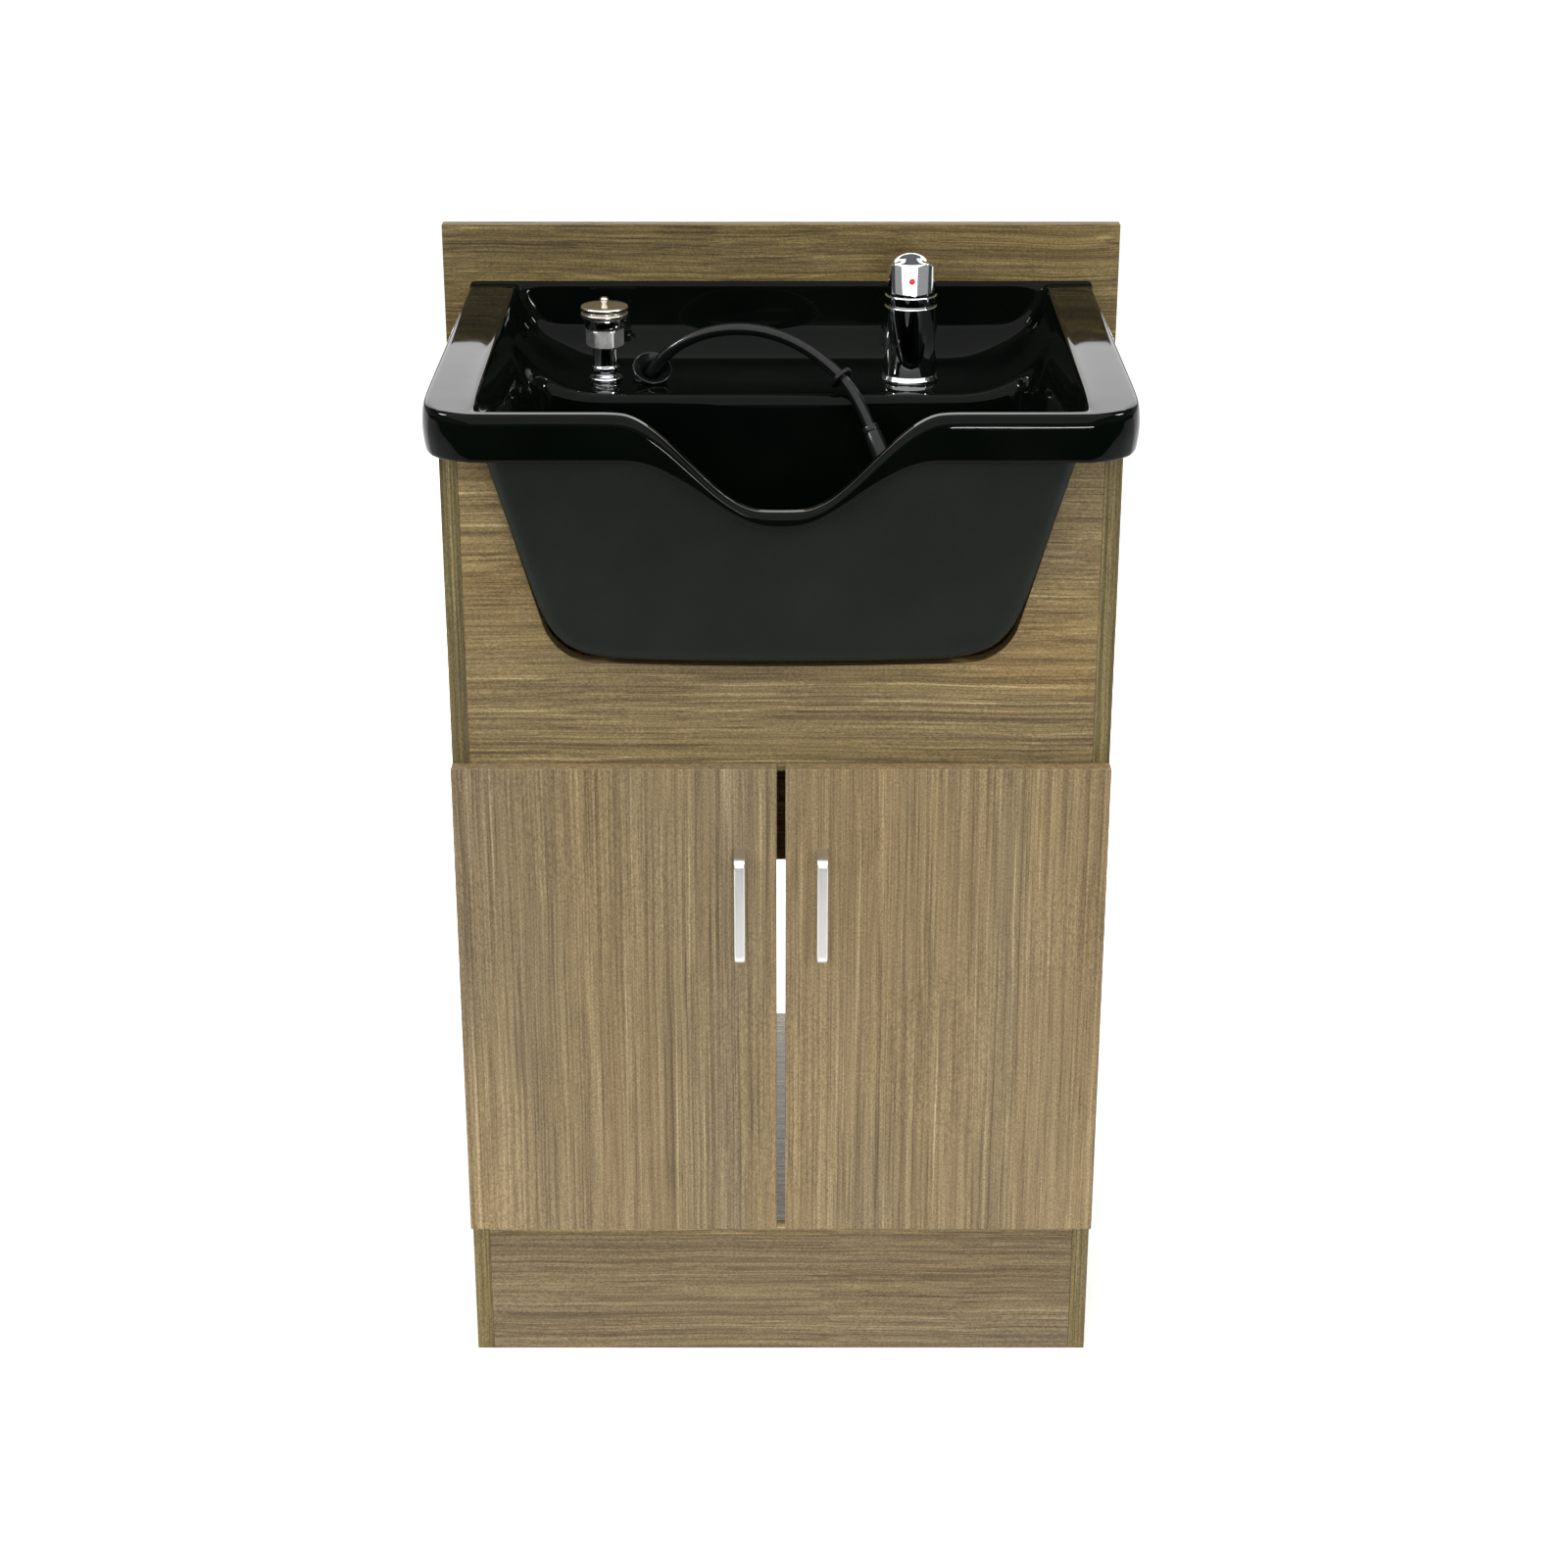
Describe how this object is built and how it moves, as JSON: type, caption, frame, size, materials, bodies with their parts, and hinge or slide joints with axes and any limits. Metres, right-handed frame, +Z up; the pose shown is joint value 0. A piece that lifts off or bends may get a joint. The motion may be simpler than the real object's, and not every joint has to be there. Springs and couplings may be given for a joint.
{
  "type": "shampoo backwash unit",
  "caption": "Salon shampoo unit: laminate cabinet with hinged doors and splashback carrying a black moulded neck-rest bowl, mixer tap, vacuum breaker and hand spray.",
  "frame": {"origin": "centre of the unit's footprint box, on the floor", "axes": "+Z up, +Y towards the wall behind the unit, +X to the right of a person standing at the doors"},
  "size_m": [0.68, 0.52, 1.025],
  "materials": {
    "side_laminate": "wood-grain laminate, satin, with edge banding",
    "carcass_laminate": "wood-grain laminate, satin, grain along the width",
    "door_laminate": "wood-grain laminate, satin, grain upright",
    "bowl_plastic": "polished black inside and on the rim, matt outside",
    "satin_aluminium": "satin",
    "polished_chrome": "polished",
    "satin_nickel": "satin nickel plate",
    "brass": "turned",
    "copper_tube": "drawn copper",
    "zinc_steel": "bright zinc plate",
    "black_plastic": "moulded, satin",
    "white_plastic": "moulded",
    "black_rubber": "smooth",
    "red_dot": "gloss"
  },
  "bodies": {
    "cabinet": {"apron_panel": "carcass_laminate", "back_panel": "carcass_laminate", "backsplash": "carcass_laminate", "bowl_cleats": "carcass_laminate", "bowl_hanger_bracket": "zinc_steel", "bowl_shell": "bowl_plastic", "bracket_screws": "zinc_steel", "breaker_body": "polished_chrome", "breaker_cap": "satin_nickel", "breaker_flange": "polished_chrome", "breaker_hex_collar": "polished_chrome", "breaker_knob": "satin_nickel", "breaker_locknut": "brass", "breaker_shank": "brass", "cabinet_floor": "carcass_laminate", "carcass_screws": "zinc_steel", "drain_body": "polished_chrome", "drain_gasket": "black_rubber", "drain_locknut": "black_plastic", "drain_tailpiece": "white_plastic", "grommet_nut": "black_plastic", "hair_strainer": "zinc_steel", "hose_collar": "black_plastic", "hose_grommet": "black_plastic", "left_hinge_arms": "zinc_steel", "left_side_panel": "side_laminate", "mixer_cartridge": "black_plastic", "outlet_tube": "copper_tube", "rear_base_rail": "carcass_laminate", "right_hinge_arms": "zinc_steel", "right_side_panel": "side_laminate", "slip_nut": "black_plastic", "slip_washer": "black_rubber", "spray_face": "black_plastic", "spray_hose": "black_rubber", "sprayer_handle": "black_plastic", "sprayer_head": "satin_nickel", "supply_tails": "copper_tube", "tap_base_ring": "polished_chrome", "tap_body": "polished_chrome", "tap_locknut": "brass", "tap_shank": "brass", "tap_trim_ring": "polished_chrome", "tap_washer": "black_rubber", "toe_kick": "carcass_laminate", "transfer_tube": "copper_tube"},
    "left_door": {"left_door": "door_laminate", "left_handle": "satin_aluminium", "left_handle_screws": "zinc_steel", "left_hinge_cups": "zinc_steel"},
    "right_door": {"right_door": "door_laminate", "right_handle": "satin_aluminium", "right_handle_screws": "zinc_steel", "right_hinge_cups": "zinc_steel"},
    "mixer_turret": {"lever_dome": "polished_chrome", "mixer_spindle": "brass"},
    "mixer_lever": {"lever_cap": "polished_chrome", "temperature_dot": "red_dot"},
    "breaker_float": {"breaker_float": "black_plastic"}
  },
  "joints": [
    {"name": "left_door_hinge", "type": "hinge", "parent": "cabinet", "child": "left_door", "pos_m": [-0.3, -0.208, 0.386], "axis": [0, 0, -1], "range_deg": [0, 105]},
    {"name": "right_door_hinge", "type": "hinge", "parent": "cabinet", "child": "right_door", "pos_m": [0.3, -0.208, 0.386], "axis": [0, 0, 1], "range_deg": [0, 105]},
    {"name": "mixer_turn", "type": "hinge", "parent": "cabinet", "child": "mixer_turret", "pos_m": [0.128, 0.169, 0.972], "axis": [0, 0, 1], "range_deg": [-50, 50]},
    {"name": "mixer_lift", "type": "hinge", "parent": "mixer_turret", "child": "mixer_lever", "pos_m": [0.128, 0.169, 0.972], "axis": [-1, 0, 0], "range_deg": [0, 20]},
    {"name": "breaker_float_slide", "type": "slide", "parent": "cabinet", "child": "breaker_float", "axis": [0, 0, 1], "range_m": [0, 0.006]}
  ]
}
